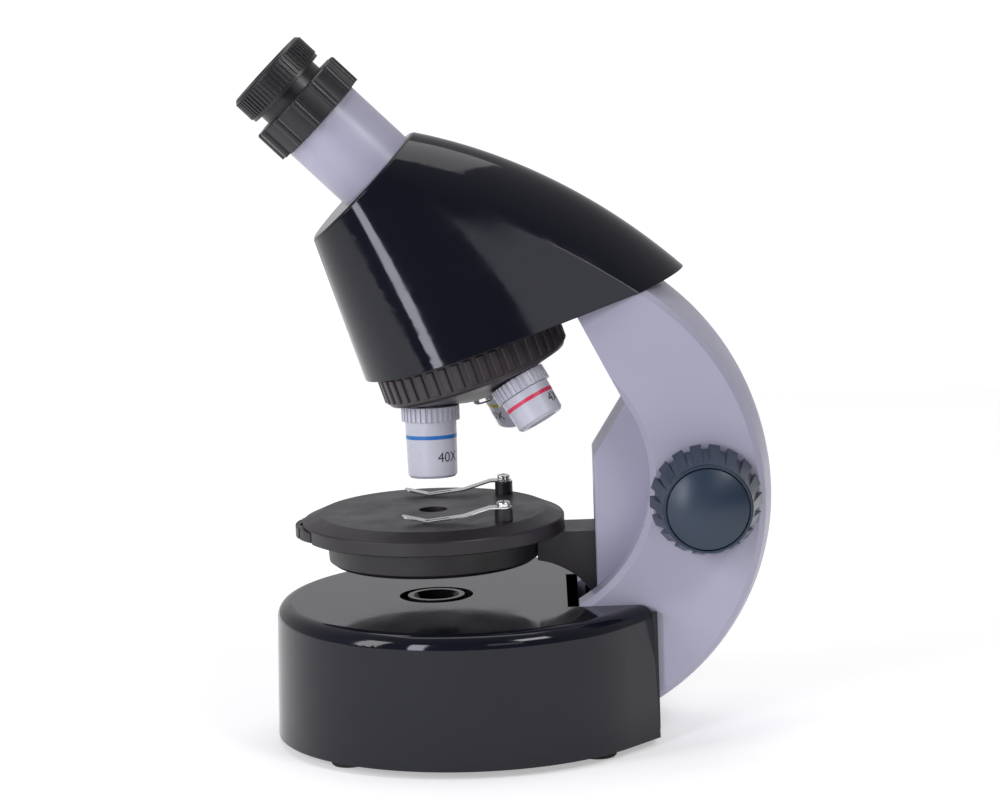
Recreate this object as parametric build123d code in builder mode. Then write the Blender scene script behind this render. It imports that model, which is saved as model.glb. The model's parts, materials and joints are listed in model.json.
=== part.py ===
from build123d import *
from math import cos, pi, radians, sin, sqrt, tan
import os

# Small upright microscope: round base with a lamp, C-shaped arm, focusing stage,
# triple nosepiece and inclined zoom eyepiece. Millimetres, +Z up, the origin on the
# table under the middle of the object. The arm is on the +X side, the eyepiece leans
# towards -X. Side profiles are drawn from the optical axis, so x = 0 in a sketch of
# side_plane or level() is the optical axis.

# ---------------------------------------------------------------- driving sizes
axis_x = -24.9  # optical axis, seen from the origin

wall = 2.3  # moulded wall thickness

base_radius = 61.8
base_centre = 10.6
base_floor = 2.5
base_top = 44.25
base_draft = 1.7
base_rim = 4.5
base_rear = 68.5  # flat at the back of the base
plate_thickness = 2.5
foot_radius = 5.5
foot_spread = (38.4, 37.0)

well_radius = 11.6
lamp_seat = 36.0  # top of the lamp circuit board

arm_half = 24.0
arm_centre = (23.3, 75.9)
arm_radius = 82.4  # of the back above the middle of the knob
arm_low_radius = 75.4  # of the back below it
arm_crown = 3.3  # how far the back rises between the flat sides
throat_centre = (21.9, 83.9)
throat_radius = 45.7
throat_top = (59.9, 108.3)
throat_end = 46.4  # where the front of the arm meets the head
arm_front = 44.6

column_half = 12.4
column_front = 50.4
column_eave = 88.5
column_ridge = (59.9, 103.4)

head_pivot = (-106.5, 86.1)  # the planes of the head all pass through this line
head_base_angle = 17.8
head_collar_angle = 45.0
head_front_low = (-19.6, 114.0)
head_front_high = (-33.9, 158.5)
collar_radius = 22.8
muzzle_radius = 33.2
brow_half = (21.4, 24.6)  # half width at the shoulder crease: collar, underside

nose_tilt = 18.0
nose_centre = (12.1, 124.2)  # nosepiece axis at the underside of the head
turret_turn = 12.0  # the nosepiece stands a little before its click

bend_height = 165.0  # where the light turns into the eyepiece tube
tube_radius = 14.0
collar_distance = 19.5
tube_end = 42.5
zoom_end = 53.5
cap_start = 56.9
cap_end = 65.8

stage_top = 71.65
stage_radius = 41.0
stage_rim_top = 69.3
stage_rim_low = 64.8
stage_land = 35.6
stage_hole = 4.5
cup_radius = 33.0
cup_low = 56.0
wheel_offset = 19.0
wheel_radius = 24.3
wheel_low = 65.2
wheel_high = 68.3
bracket_half = 9.5
bracket_top = 65.0
clip_post = (22.2, 22.1)

knob_centre = (84.5, 76.9)
pinion_teeth = 10
tooth_module = 1.2
pitch_radius = pinion_teeth * tooth_module / 2
running = 0.08  # radial clearance of shafts and pins in their bores
gap = 0.35  # clearance between sliding bodies


# ---------------------------------------------------------------- planes
def side_plane(y=0.0):
    """Upright plane across Y; sketch x is measured from the optical axis."""
    return Plane(origin=(axis_x, y, 0), x_dir=(1, 0, 0), z_dir=(0, -1, 0))


def level(z):
    """Horizontal plane at height z with its origin on the optical axis."""
    return Plane(origin=(axis_x, 0, z), x_dir=(1, 0, 0), z_dir=(0, 0, 1))


def tube_plane(distance):
    """Plane across the eyepiece tube, that far from the bend of the light path."""
    reach = distance / sqrt(2)
    return Plane(origin=(axis_x - reach, 0, bend_height + reach), x_dir=(0, 1, 0), z_dir=(-1, 0, 1))


def nose_plane(depth):
    """Plane across the nosepiece axis, that far below the underside of the head."""
    lean = radians(nose_tilt)
    x = axis_x + nose_centre[0] + depth * sin(lean)
    z = nose_centre[1] - depth * cos(lean)
    return Plane(origin=(x, 0, z), x_dir=(cos(lean), 0, sin(lean)), z_dir=(-sin(lean), 0, cos(lean)))


def rim_plane(centre, y=0.0):
    """Plane square to Y with its origin on a Y axis that passes through centre."""
    return Plane(origin=(axis_x + centre[0], y, centre[1]), x_dir=(1, 0, 0), z_dir=(0, -1, 0))


def save(piece, name):
    """Label a finished piece and write it as its own STEP file."""
    piece.part.label = name
    export_step(piece.part, f"parts/{name}.step")


def pan_screw(plane, head_radius, head_height, shank_radius, shank_length):
    """Cross-head screw: domed head above the plane, shank below it."""
    with BuildPart() as screw:
        with BuildSketch(plane):
            Circle(head_radius)
        extrude(amount=head_height)
        fillet(screw.faces().sort_by(Axis(plane.origin, plane.z_dir))[-1].edges(), head_height * 0.45)
        with BuildSketch(plane):
            Circle(shank_radius)
        extrude(amount=-shank_length)
        with BuildSketch(plane.offset(head_height)):
            Rectangle(head_radius * 1.1, head_radius * 0.28)
            Rectangle(head_radius * 0.28, head_radius * 1.1)
        extrude(amount=-head_height * 0.55, mode=Mode.SUBTRACT)
    return screw.part


os.makedirs("parts", exist_ok=True)

# ---------------------------------------------------------------- base
pillar_spots = [(-38.0, 14.0), (-38.0, -14.0), (31.0, 42.0), (31.0, -42.0)]
arm_foot_spots = [(51.5, 16.0), (51.5, -16.0)]
pocket_half = arm_half + 0.3
slot_front = 41.0  # front of the pocket, where the stage bracket dips in
plate_top = base_floor + plate_thickness
battery_half = (17.5, 29.5)
battery_top = 22.0
switch_x = 18.0  # the switch is on the left side of the base
switch_height = 27.0
switch_face = 58.6  # the rim of the switch stands just proud of the wall
switch_middle = Plane(
    origin=(axis_x + switch_x, switch_face, switch_height), x_dir=(-1, 0, 0), z_dir=(0, 1, 0)
)



def base_outline(inset):
    """Circle drawn out at the back to a flat end that is as wide as the pocket of the arm."""
    end_width = 2 * (pocket_half + wall - inset)
    with BuildSketch(mode=Mode.PRIVATE) as outline:
        with Locations((base_centre, 0)):
            Circle(base_radius - inset)
        with Locations((base_rear - inset - 0.5, 0)):
            Rectangle(1, end_width)
        make_hull()
        with Locations((base_rear - inset + 20, 0)):
            Rectangle(40, 3 * base_radius, mode=Mode.SUBTRACT)
        fillet(outline.vertices().group_by(Axis.X)[-1], 1.5)
    return outline.sketch


with BuildPart() as base_cover:
    with BuildSketch(level(base_floor)):
        add(base_outline(0))
    extrude(amount=base_top - base_floor, taper=base_draft)
    fillet(base_cover.faces().sort_by(Axis.Z)[-1].edges(), base_rim)
    with BuildSketch(level(base_floor)):
        add(base_outline(wall))
    extrude(amount=base_top - base_floor - wall, taper=base_draft, mode=Mode.SUBTRACT)
    # walls of the pocket that holds the foot of the arm, open below
    with BuildSketch(level(plate_top + 0.1)):
        with Locations(((slot_front - wall + base_rear) / 2, 0)):
            Rectangle(base_rear - slot_front + wall, 2 * (pocket_half + wall))
    extrude(amount=base_top - wall - plate_top)
    with BuildSketch(level(plate_top + 1.2)):
        with Locations(((slot_front + base_rear + 20) / 2, 0)):
            Rectangle(base_rear + 20 - slot_front, 2 * pocket_half)
    extrude(amount=base_top, mode=Mode.SUBTRACT)
    # lamp well and the four screw pillars
    with BuildSketch(level(lamp_seat - 3)):
        Circle(well_radius + wall)
    extrude(amount=base_top - lamp_seat + 2)
    with BuildSketch(level(plate_top)):
        with Locations(*pillar_spots):
            Circle(4.2)
    extrude(amount=base_top - wall - plate_top + 1)
    with BuildSketch(level(plate_top)):
        with Locations(*pillar_spots):
            Circle(1.4)
    extrude(amount=12, mode=Mode.SUBTRACT)
    with BuildSketch(level(lamp_seat - 3)):
        Circle(well_radius)
    extrude(amount=20, mode=Mode.SUBTRACT)
    with BuildSketch(level(plate_top)):
        with Locations(*arm_foot_spots):
            Circle(1.4)
    extrude(amount=3, mode=Mode.SUBTRACT)
    # opening for the switch
    with BuildSketch(switch_middle.offset(10)):
        Rectangle(17.0, 11.0)
    extrude(amount=-16, mode=Mode.SUBTRACT)
save(base_cover, "base_cover")

with BuildPart() as base_plate:
    with BuildSketch(level(base_floor)):
        add(base_outline(wall + 0.3))
    extrude(amount=plate_thickness)
    with BuildSketch(level(base_floor)):
        Rectangle(2 * battery_half[0] - 1, 2 * battery_half[1] - 1)
    extrude(amount=plate_thickness, mode=Mode.SUBTRACT)
    with BuildSketch(level(base_floor)):
        with Locations(*pillar_spots):
            Circle(1.4)
    extrude(amount=plate_thickness, mode=Mode.SUBTRACT)
    with BuildSketch(level(base_floor)):
        with Locations(*arm_foot_spots):
            Circle(1.4)
    extrude(amount=plate_thickness, mode=Mode.SUBTRACT)
save(base_plate, "base_plate")

foot_spots = []
for foot_side in (-1, 1):
    for foot_end in (-1, 1):
        foot_spots.append((base_centre + foot_end * foot_spread[0], foot_side * foot_spread[1]))

with BuildPart() as rubber_feet:
    with BuildSketch(level(0)):
        with Locations(*foot_spots):
            Circle(foot_radius)
    extrude(amount=base_floor)
    chamfer(rubber_feet.faces().sort_by(Axis.Z)[:4].edges(), 0.6)
save(rubber_feet, "rubber_feet")

with BuildPart() as base_screws:
    for spot in pillar_spots:
        under = Plane(origin=(axis_x + spot[0], spot[1], base_floor), z_dir=(0, 0, -1))
        add(pan_screw(under, 2.8, 1.5, 1.4, 10))
save(base_screws, "base_screws")

# battery bay: two AA cells side by side, reached through a screwed door underneath
cell_radius = 7.1
cell_length = 50.2
cell_height = plate_top + 1.0 + cell_radius

with BuildPart() as battery_box:
    with BuildSketch(level(plate_top)):
        Rectangle(2 * battery_half[0], 2 * battery_half[1])
    extrude(amount=battery_top - plate_top)
    with BuildSketch(level(plate_top)):
        Rectangle(2 * battery_half[0] - 3.6, 2 * battery_half[1] - 3.6)
    extrude(amount=battery_top - plate_top - 1.8, mode=Mode.SUBTRACT)
    with BuildSketch(level(battery_top - 1.8)):
        Rectangle(1.2, 2 * battery_half[1] - 3.6)
    extrude(amount=-2.2)
save(battery_box, "battery_box")

with BuildPart() as battery_cells:
    for side in (-1, 1):
        start = Plane(origin=(axis_x + side * 7.7, side * cell_length / 2, cell_height), z_dir=(0, -side, 0))
        with BuildSketch(start):
            Circle(cell_radius)
        extrude(amount=cell_length - 1.2)
        with BuildSketch(start.offset(cell_length - 1.2)):
            Circle(2.7)
        extrude(amount=1.2)
save(battery_cells, "battery_cells")

contact_y = battery_half[1] - 1.8
with BuildPart() as battery_contacts:
    with BuildSketch(Plane(origin=(axis_x, contact_y, cell_height), x_dir=(1, 0, 0), z_dir=(0, -1, 0))):
        Rectangle(26, 9)
    extrude(amount=0.5)
    with BuildSketch(Plane(origin=(axis_x, -contact_y, cell_height), x_dir=(1, 0, 0), z_dir=(0, 1, 0))):
        with Locations((-7.7, 0), (7.7, 0)):
            Rectangle(9, 9)
    extrude(amount=0.5)
    for side in (-1, 1):
        spring_foot = (axis_x + side * 7.7, side * (contact_y - 0.5), cell_height)
        with BuildSketch(Plane(origin=spring_foot, z_dir=(0, -side, 0))):
            Circle(4.2)
            Circle(3.3, mode=Mode.SUBTRACT)
        extrude(amount=contact_y - 0.5 - cell_length / 2)
save(battery_contacts, "battery_contacts")

with BuildPart() as battery_door:
    with BuildSketch(level(base_floor)):
        Rectangle(2 * battery_half[0] - 1.4, 2 * battery_half[1] - 1.4)
    extrude(amount=plate_thickness)
    with BuildSketch(level(base_floor)):
        with GridLocations(24, 6, 1, 7):
            Rectangle(20, 1.2)
    extrude(amount=0.6, mode=Mode.SUBTRACT)
    with BuildSketch(level(base_floor)):
        with Locations((0, 24.5)):
            Circle(3.1)
    extrude(amount=1.0, mode=Mode.SUBTRACT)
    with BuildSketch(level(base_floor)):
        with Locations((0, 24.5)):
            Circle(1.2)
    extrude(amount=plate_thickness, mode=Mode.SUBTRACT)
save(battery_door, "battery_door")

with BuildPart() as door_screw:
    recess = Plane(origin=(axis_x, 24.5, base_floor + 1.0), z_dir=(0, 0, -1))
    add(pan_screw(recess, 2.6, 1.0, 1.2, 2.4))
save(door_screw, "battery_door_screw")

# lamp: circuit board on the floor of the well, reflector cone, clear lamp in the middle
with BuildPart() as lamp_board:
    with BuildSketch(level(lamp_seat - 3)):
        Circle(well_radius)
    extrude(amount=1.6)
save(lamp_board, "lamp_board")

dish_top = base_top - 1.0
with BuildPart() as lamp_reflector:
    with BuildSketch(side_plane()):
        with BuildLine():
            Polyline(
                (3.1, lamp_seat - 1.4),
                (well_radius, lamp_seat - 1.4),
                (well_radius, dish_top - 1.6),
                (8.9, dish_top - 1.6),
                (8.9, base_top + 0.2),
                (7.2, base_top + 0.2),
                (6.6, dish_top),
                (3.1, lamp_seat + 1.6),
                close=True,
            )
        make_face()
    revolve(axis=Axis((axis_x, 0, 0), (0, 0, 1)))
save(lamp_reflector, "lamp_reflector")

with BuildPart() as lamp_bulb:
    with BuildSketch(level(lamp_seat - 1.4)):
        Circle(2.9)
    extrude(amount=1.0)
    with BuildSketch(level(lamp_seat - 0.4)):
        Circle(2.5)
    extrude(amount=5.6)
    fillet(lamp_bulb.faces().sort_by(Axis.Z)[-1].edges(), 2.4)
save(lamp_bulb, "lamp_bulb")

# rocker switch in a bezel on the left side of the base
with BuildPart() as switch_bezel:
    with BuildSketch(switch_middle.offset(-8)):
        RectangleRounded(17.0, 11.0, 0.8)
        Rectangle(13.0, 7.4, mode=Mode.SUBTRACT)
    extrude(amount=11)
    with BuildSketch(switch_middle.offset(-9.5)):
        Rectangle(17.0, 11.0)
    extrude(amount=1.5)
save(switch_bezel, "switch_bezel")

rocker_axis = (axis_x + switch_x, switch_face - 3.4, switch_height)
with BuildPart() as switch_rocker:
    with BuildSketch(Plane(origin=rocker_axis, x_dir=(0, 1, 0), z_dir=(1, 0, 0)).offset(-6.0)):
        with BuildLine():
            Line((0.0, -2.6), (5.6, -2.7))
            ThreePointArc((5.6, -2.7), (4.9, 0.0), (5.6, 2.7))
            Line((5.6, 2.7), (0.0, 2.6))
            ThreePointArc((0.0, 2.6), (-2.6, 0.0), (0.0, -2.6))
        make_face()
    extrude(amount=12.0)
save(switch_rocker, "switch_rocker")

# ---------------------------------------------------------------- arm
head_slope = tan(radians(head_base_angle))
arm_low = plate_top + 1.3


def head_underside(x):
    """Height of the head's underside at a distance from the optical axis."""
    return head_pivot[1] + (x - head_pivot[0]) * head_slope


def arm_block(inset):
    """Right half of the C-shaped arm with every outer face moved in by inset."""
    edge = arm_half - inset
    with BuildPart() as block:
        for radius, way in ((arm_radius, -1), (arm_low_radius, 1)):
            middle = level(arm_centre[1]).origin + Vector(arm_centre[0] + arm_radius - radius, 0, 0)
            top = radius - inset
            shoulder = top - arm_crown
            with BuildSketch(Plane(origin=middle, x_dir=(1, 0, 0), z_dir=(0, 0, 1))):
                with BuildLine():
                    Line((0, 0), (top, 0))
                    SagittaArc((top, 0), (shoulder + 0.6, 1.5 - edge), arm_crown * 0.27)
                    Line((shoulder + 0.6, 1.5 - edge), (shoulder - 1.2, -edge))
                    Line((shoulder - 1.2, -edge), (0, -edge))
                    Line((0, -edge), (0, 0))
                make_face()
            revolve(axis=Axis(middle, (0, way, 0)), revolution_arc=180)
        with BuildSketch(side_plane()):
            with BuildLine():
                reach = throat_radius + inset
                low_z = arm_low + inset
                front_z = throat_centre[1] - sqrt(reach**2 - (arm_front + inset - throat_centre[0]) ** 2)
                lift = inset * 0.9
                Line((arm_front + inset, low_z), (arm_front + inset, front_z))
                bend = (throat_top[0] + lift, throat_top[1] + inset * 0.5)
                tip_x = throat_end + lift
                over = throat_end + 120
                deepest = (throat_centre[0] + reach, throat_centre[1])
                ThreePointArc((arm_front + inset, front_z), deepest, bend)
                Polyline(
                    bend,
                    (tip_x, head_underside(tip_x) - inset),
                    (over, head_underside(over) - inset),
                    (over, low_z),
                    (arm_front + inset, low_z),
                )
            make_face()
        extrude(amount=60, both=True, mode=Mode.INTERSECT)
    return block.part


column_back = 66.0
column_heel = 56.5  # back of the column's foot, below the knee
column_knee = 60.0


def column_roof(x):
    """Height of the column's leaning roof at a distance from the optical axis."""
    rise = (column_ridge[1] - column_eave) / (column_ridge[0] - column_front)
    return column_eave + (x - column_front) * rise


shaft_radius = 3.0
screw_spots = [(66.0, 28.0), (95.0, 56.0), (88.0, 108.0), (68.0, 132.0)]
neck_x = (52.0, 66.0)

with BuildPart() as arm_right:
    add(arm_block(0.0))
    chamfer(
        arm_right.edges().group_by(Axis.Y)[0].filter_by(GeomType.CIRCLE).sort_by(SortBy.RADIUS)[0], 1.8
    )
    add(arm_block(2.4), mode=Mode.SUBTRACT)
    # the column passes through the front wall, the focus shaft through the side
    with BuildSketch(side_plane()):
        with BuildLine():
            Polyline(
                (40, plate_top),
                (40, column_eave),
                (column_front, column_eave),
                (column_back, column_roof(column_back)),
                (75, column_roof(column_back)),
                (75, column_knee),
                (column_heel + 0.02, column_knee - 10),
                (column_heel + 0.02, plate_top),
                close=True,
            )
        make_face()
    extrude(amount=column_half + 0.02, mode=Mode.SUBTRACT)
    with BuildSketch(rim_plane(knob_centre, -arm_half + 2.4)):
        Circle(shaft_radius + 2.6)
    extrude(amount=-5)
    with BuildSketch(side_plane(-arm_half + 2.3)):
        with Locations(*screw_spots):
            Circle(3.4)
    extrude(amount=-(arm_half - 2.3))
    with BuildSketch(side_plane(-arm_half + 4.0)):
        with Locations(*screw_spots):
            Circle(1.3)
    extrude(amount=-arm_half, mode=Mode.SUBTRACT)
    with BuildSketch(rim_plane(knob_centre)):
        Circle(shaft_radius + running)
    extrude(amount=arm_half + 1, mode=Mode.SUBTRACT)
    with BuildSketch(level(plate_top)):
        with Locations(arm_foot_spots[1]):
            Circle(1.4)
    extrude(amount=8, mode=Mode.SUBTRACT)
    # tongue that plugs into the head
    with BuildSketch(side_plane(-4.0)):
        with BuildLine():
            Polyline(
                (neck_x[0], head_underside(neck_x[0]) - 2.4),
                (neck_x[0], head_underside(neck_x[0]) + 8),
                (neck_x[1], head_underside(neck_x[1]) + 4),
                (neck_x[1], head_underside(neck_x[1]) - 2.4),
                close=True,
            )
        make_face()
    extrude(amount=10)
save(arm_right, "arm_right_shell")

with BuildPart() as arm_left:
    mirror(arm_right.part, about=Plane.XZ)
    with BuildSketch(side_plane(arm_half)):
        with Locations(*screw_spots):
            Circle(2.9)
    extrude(amount=2.0, mode=Mode.SUBTRACT)
    with BuildSketch(side_plane(arm_half)):
        with Locations(*screw_spots):
            Circle(1.3)
    extrude(amount=6.0, mode=Mode.SUBTRACT)
save(arm_left, "arm_left_shell")

with BuildPart() as arm_screws:
    for spot in screw_spots:
        seat = Plane(origin=(axis_x + spot[0], arm_half - 2.0, spot[1]), z_dir=(0, 1, 0))
        add(pan_screw(seat, 2.7, 1.6, 1.3, 30))
    for spot in arm_foot_spots:
        under = Plane(origin=(axis_x + spot[0], spot[1], base_floor), z_dir=(0, 0, -1))
        add(pan_screw(under, 2.8, 1.5, 1.4, 6.0))
save(arm_screws, "arm_screws")

# column: upright guide for the stage, standing in the throat of the arm
slot_low = 33.5
slot_high = 77.5
column_wall = 2.2
column_low = arm_low


def column_outline(inset, back):
    """Side outline of the column: upright front and a roof that leans back to the arm."""
    front = column_front + inset
    drop = inset * 2.2
    return [
        (front, column_low - inset),
        (front, column_roof(front) - drop),
        (back, column_roof(back) - drop),
        (back, column_low - inset),
    ]


with BuildPart() as column:
    with BuildSketch(side_plane()):
        with BuildLine():
            Polyline(*column_outline(0, 70.0), close=True)
        make_face()
        with Locations(throat_centre):
            Circle(throat_radius + 2.3, mode=Mode.INTERSECT)
        with Locations(((column_front + column_heel) / 2, (column_low + column_knee) / 2)):
            Rectangle(column_heel - column_front, column_knee - column_low)
    extrude(amount=column_half, both=True)
    fillet(column.edges().filter_by(Axis.Y, reverse=True).group_by(Axis.X)[0], 1.0)
    with BuildSketch(side_plane()):
        with BuildLine():
            Polyline(*column_outline(column_wall, 80.0), close=True)
        make_face()
    extrude(amount=column_half - column_wall, both=True, mode=Mode.SUBTRACT)
    with BuildSketch(side_plane()):
        with Locations((column_front, (slot_low + slot_high) / 2)):
            Rectangle(12, slot_high - slot_low)
    extrude(amount=bracket_half + gap, both=True, mode=Mode.SUBTRACT)
save(column, "column")

# ---------------------------------------------------------------- head
crease_track = (133.4, 152.5, 181.0)  # shoulder distance from the pivot: collar, middle, underside


def fan_plane(angle):
    """One of the planes that fan out from the pivot line between underside and collar."""
    lean = radians(angle)
    origin = (axis_x + head_pivot[0], 0, head_pivot[1])
    return Plane(origin=origin, x_dir=(cos(lean), 0, sin(lean)), z_dir=(-sin(lean), 0, cos(lean)))


def head_front(angle):
    """Distance from the pivot to the straight front edge of the head."""
    lean = radians(angle)
    run = head_front_high[0] - head_front_low[0]
    rise = head_front_high[1] - head_front_low[1]
    x = head_front_low[0] - head_pivot[0]
    z = head_front_low[1] - head_pivot[1]
    return (x * rise - z * run) / (cos(lean) * rise - sin(lean) * run)


def head_outline(angle, inset):
    """Half outline of one section: points of the side curve and of the crown curve."""
    share = (head_collar_angle - angle) / (head_collar_angle - head_base_angle)
    front = head_front(angle)
    top = 147.6 + 48.6 * share - 4.4 * share * (1 - share)
    early, middle, late = crease_track
    crease = early + (4 * middle - 3 * early - late) * share + (2 * early + 2 * late - 4 * middle) * share**2
    nose = collar_radius + (muzzle_radius - collar_radius) * share - inset
    brow = brow_half[0] + (brow_half[1] - brow_half[0]) * share - inset
    nose_middle = front + nose + inset

    side = []
    for turn in (180, 157, 135, 113):
        side.append((nose_middle + nose * cos(radians(turn)), nose * sin(radians(turn))))
    for step in (0.0, 0.5, 1.0):
        side.append((nose_middle + (crease - nose_middle) * step, nose + (brow - nose) * step**2))
    crown = []
    for step in (1.0, 0.5, 0.0):
        crown.append((crease + (top - inset - crease) * (1 - step**2), brow * step))
    return side, crown


def head_form(inset, angles):
    """Solid head, every outer face moved in by inset, through sections at these angles."""
    with BuildPart() as form:
        for angle in angles:
            side, crown = head_outline(angle, inset)
            with BuildSketch(fan_plane(angle)):
                with BuildLine():
                    mirrored_side = [(s, -y) for s, y in side[1:]]
                    Spline(*reversed(side), *mirrored_side)
                    mirrored_crown = [(s, -y) for s, y in crown[:-1]]
                    Spline(*crown, *reversed(mirrored_crown))
                make_face()
        loft()
    return form.part


sections = [45.0, 38.0, 31.0, 24.0, head_base_angle]
inner_sections = [43.9, 37.0, 30.0, 23.0, head_base_angle - 0.6]

with BuildPart() as head_shell:
    add(head_form(0.0, sections))
    chamfer(head_shell.faces().sort_by(Axis(tube_plane(0).origin, (-1, 0, 1)))[-1].edges(), 0.6)
    add(head_form(2.2, inner_sections), mode=Mode.SUBTRACT)
    with BuildSketch(tube_plane(0)):
        Circle(tube_radius + 0.02)
    extrude(amount=60, mode=Mode.SUBTRACT)
save(head_shell, "head_shell")

# floor of the head: closes it below, carries the nosepiece and is screwed to the arm
with BuildPart() as head_floor:
    add(head_form(2.35, [head_base_angle + 1.4, head_base_angle + 0.2]))
    with BuildSketch(nose_plane(1)):
        Circle(2.5)
    extrude(amount=20, mode=Mode.SUBTRACT)
    with BuildSketch(Plane(origin=(axis_x, 0, nose_centre[1] - 30), z_dir=(0, 0, 1))):
        Circle(6.5)
    extrude(amount=60, mode=Mode.SUBTRACT)
    for side in (-1, 1):
        with BuildSketch(side_plane(side * 9)):
            with BuildLine():
                Polyline(
                    (neck_x[0] - 0.1, head_underside(neck_x[0]) - 3),
                    (neck_x[0] - 0.1, head_underside(neck_x[0]) + 20),
                    (neck_x[1] + 0.1, head_underside(neck_x[1]) + 20),
                    (neck_x[1] + 0.1, head_underside(neck_x[1]) - 3),
                    close=True,
                )
            make_face()
        extrude(amount=5.1, both=True, mode=Mode.SUBTRACT)
save(head_floor, "head_floor")

# inclined drawtube, fixed in the collar of the head
tube_start = 9.0
spigot_radius = tube_radius - 0.9  # the zoom ring turns on this thinner end
with BuildPart() as drawtube:
    with BuildSketch(tube_plane(tube_start)):
        Circle(tube_radius)
        Circle(tube_radius - 2.0, mode=Mode.SUBTRACT)
    extrude(amount=zoom_end - 3.0 - tube_start)
    with BuildSketch(tube_plane(tube_end)):
        Circle(tube_radius)
        Circle(spigot_radius, mode=Mode.SUBTRACT)
    extrude(amount=20, mode=Mode.SUBTRACT)
save(drawtube, "drawtube")

# prism that bends the light from the objective into the drawtube
prism_size = 15.0
with BuildPart() as prism:
    with BuildSketch(side_plane()):
        with BuildLine():
            Polyline((-7.5, 157.0), (7.5, 157.0), (7.5, 163.2), (0.0, 172.6), (-7.5, 165.1), close=True)
        make_face()
    extrude(amount=prism_size / 2, both=True)
save(prism, "prism")

holder_low = 154.6
leg_foot = 127.0  # on the floor of the head
with BuildPart() as prism_holder:
    with BuildSketch(side_plane()):
        with BuildLine():
            Polyline(
                (-9.5, holder_low),
                (12.0, holder_low),
                (12.0, 161.0),
                (0.0, 175.0),
                (-9.5, 165.2),
                close=True,
            )
        make_face()
    extrude(amount=10.5, both=True)
    with BuildSketch(side_plane()):
        with BuildLine():
            Polyline((-7.5, 157.0), (7.5, 157.0), (7.5, 163.2), (0.0, 172.6), (-7.5, 165.1), close=True)
        make_face()
    extrude(amount=prism_size / 2, both=True, mode=Mode.SUBTRACT)
    with BuildSketch(level(150)):
        Circle(5.5)
    extrude(amount=10, mode=Mode.SUBTRACT)
    with BuildSketch(tube_plane(-2)):
        Circle(6.0)
    extrude(amount=30, mode=Mode.SUBTRACT)
    for side in (-1, 1):
        with BuildSketch(level(leg_foot)):
            with Locations((8, side * 8)):
                Circle(2.0)
        extrude(amount=holder_low + 2 - leg_foot)
save(prism_holder, "prism_holder")

# ---------------------------------------------------------------- eyepiece
sleeve_radius = 11.6

with BuildPart() as zoom_ring:
    with BuildSketch(tube_plane(tube_end + 0.35)):
        Circle(16.0)
        with PolarLocations(15.4, 12):
            Circle(1.6)
        Circle(spigot_radius + running, mode=Mode.SUBTRACT)
    extrude(amount=zoom_end - tube_end - 2.7)
    with BuildSketch(tube_plane(zoom_end - 2.35)):
        Circle(16.0)
        with PolarLocations(15.4, 12):
            Circle(1.6)
        Circle(sleeve_radius + gap, mode=Mode.SUBTRACT)
    extrude(amount=2.35)
    chamfer(zoom_ring.faces().sort_by(Axis(tube_plane(0).origin, (-1, 0, 1)))[-1].outer_wire().edges(), 0.5)
save(zoom_ring, "zoom_ring")

with BuildPart() as eyepiece_sleeve:
    with BuildSketch(tube_plane(22)):
        Circle(sleeve_radius)
        Circle(sleeve_radius - 1.3, mode=Mode.SUBTRACT)
    extrude(amount=cap_start + 3 - 22)
save(eyepiece_sleeve, "eyepiece_sleeve")

cap_radius = 14.0
cap_ribs = 60
with BuildPart() as eyepiece_cap:
    with BuildSketch(tube_plane(cap_start)):
        Circle(cap_radius)
    extrude(amount=cap_end - cap_start)
    with BuildSketch(tube_plane(cap_start + 1.2)):
        with PolarLocations(cap_radius, cap_ribs):
            Rectangle(0.8, 0.7)
    extrude(amount=cap_end - cap_start - 2.2)
    chamfer(eyepiece_cap.faces().sort_by(Axis(tube_plane(0).origin, (-1, 0, 1)))[-1].edges(), 0.7)
    with BuildSketch(tube_plane(cap_start)):
        Circle(sleeve_radius)
    extrude(amount=3.0, mode=Mode.SUBTRACT)
    with BuildSketch(tube_plane(cap_start)):
        Circle(9.0)
    extrude(amount=6.6, mode=Mode.SUBTRACT)
    with BuildSketch(tube_plane(cap_start + 5)):
        Circle(7.5)
    extrude(amount=10, mode=Mode.SUBTRACT)
    with BuildSketch(tube_plane(cap_end)):
        Circle(11.5)
    extrude(amount=-2.2, taper=40, mode=Mode.SUBTRACT)
save(eyepiece_cap, "eyepiece_cap")


def tube_lens(distance, radius, edge, sagitta):
    """Plano-convex lens across the eyepiece tube, curved towards the eye."""
    with BuildPart() as lens:
        with BuildSketch(tube_plane(distance)):
            Circle(radius)
        extrude(amount=edge)
        with BuildSketch(tube_plane(distance + edge)):
            Circle(radius - 0.3)
        extrude(amount=sagitta, taper=55)
    return lens.part


with BuildPart() as eye_lens:
    add(tube_lens(cap_start + 3.6, 9.0, 1.6, 1.2))
save(eye_lens, "eye_lens")

with BuildPart() as field_lens:
    add(tube_lens(24, sleeve_radius - 1.3, 1.6, 1.2))
save(field_lens, "field_lens")

# ---------------------------------------------------------------- nosepiece
nose_axis = Axis(nose_plane(0).origin, nose_plane(0).z_dir)
seat_radius = 17.35  # objective axes cross the cone at this distance from the pivot
seat_depth = 14.2
cone_slope = tan(radians(nose_tilt))


def cone_depth(radius):
    """Depth of the nosepiece cone below the head at a distance from the pivot."""
    return seat_depth - (radius - seat_radius) * cone_slope


nose_section = Plane(origin=nose_plane(0).origin, x_dir=nose_plane(0).x_dir, z_dir=(0, -1, 0))
ring_bore = 27.6

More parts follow.
